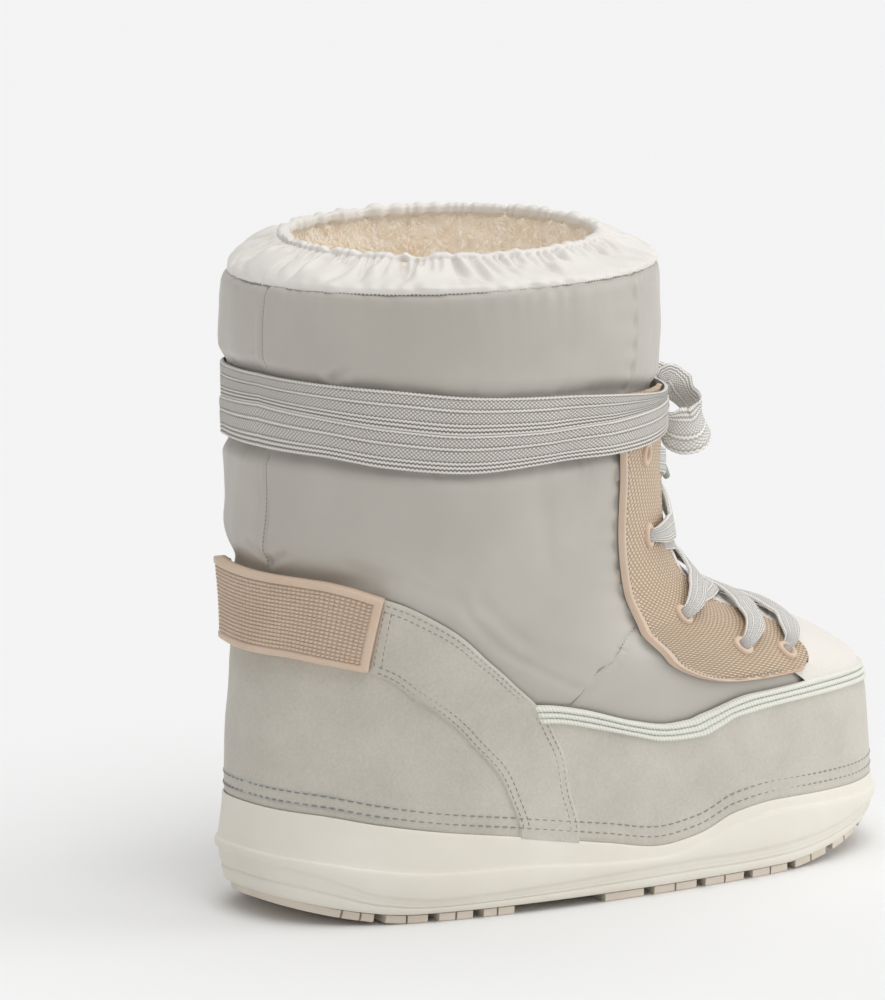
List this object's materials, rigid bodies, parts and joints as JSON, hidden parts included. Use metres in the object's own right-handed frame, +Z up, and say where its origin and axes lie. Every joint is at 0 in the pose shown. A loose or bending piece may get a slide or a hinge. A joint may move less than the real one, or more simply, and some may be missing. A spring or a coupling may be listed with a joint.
{
  "type": "apres ski boot",
  "caption": "Padded lace-up winter boot with a gathered collar, moulded heel strap and a cupped platform sole.",
  "frame": {"origin": "on the floor plane under the middle of the boot's length and width", "axes": "+X towards the toe, +Z up, -Y the lateral (outer) side"},
  "size_m": [0.286, 0.163, 0.2489],
  "materials": {
    "shaft_nylon": "padded satin nylon, warm light grey",
    "collar_nylon": "gathered pale nylon",
    "nubuck": "fine matt nubuck, grey-green beige",
    "mint_piping": "ribbed woven band, pale mint",
    "pale_panel": "pale fabric",
    "beige_rubber": "moulded matt rubber, pinkish beige",
    "lace_braid": "flat braided lace, light grey",
    "midsole_foam": "smooth matt moulded foam, off-white",
    "tread_rubber": "matt moulded rubber, cream",
    "footbed_pile": "fleece pile, cream",
    "aglet": "grey-green moulded plastic"
  },
  "bodies": {
    "root": {"outsole": "tread_rubber", "midsole": "midsole_foam", "insole": "footbed_pile", "upper": "shaft_nylon", "collar": "collar_nylon", "heel_counter": "nubuck", "wing_lateral": "nubuck", "wing_medial": "nubuck", "toe_rand": "nubuck", "piping": "mint_piping", "vamp_panel": "pale_panel", "tongue": "pale_panel", "heel_strap": "beige_rubber", "eyestay_lateral": "beige_rubber", "eyestay_medial": "beige_rubber", "lace_bar_1": "lace_braid", "lace_bar_2": "lace_braid", "lace_bar_3": "lace_braid", "lace_bar_4": "lace_braid", "lace_band_upper": "lace_braid", "lace_band_lower": "lace_braid", "lace_knot": "lace_braid", "lace_loop_lateral": "lace_braid", "lace_loop_medial": "lace_braid", "lace_end_lateral": "lace_braid", "lace_end_medial": "lace_braid", "aglet_lateral": "aglet", "aglet_medial": "aglet"}
  },
  "joints": []
}
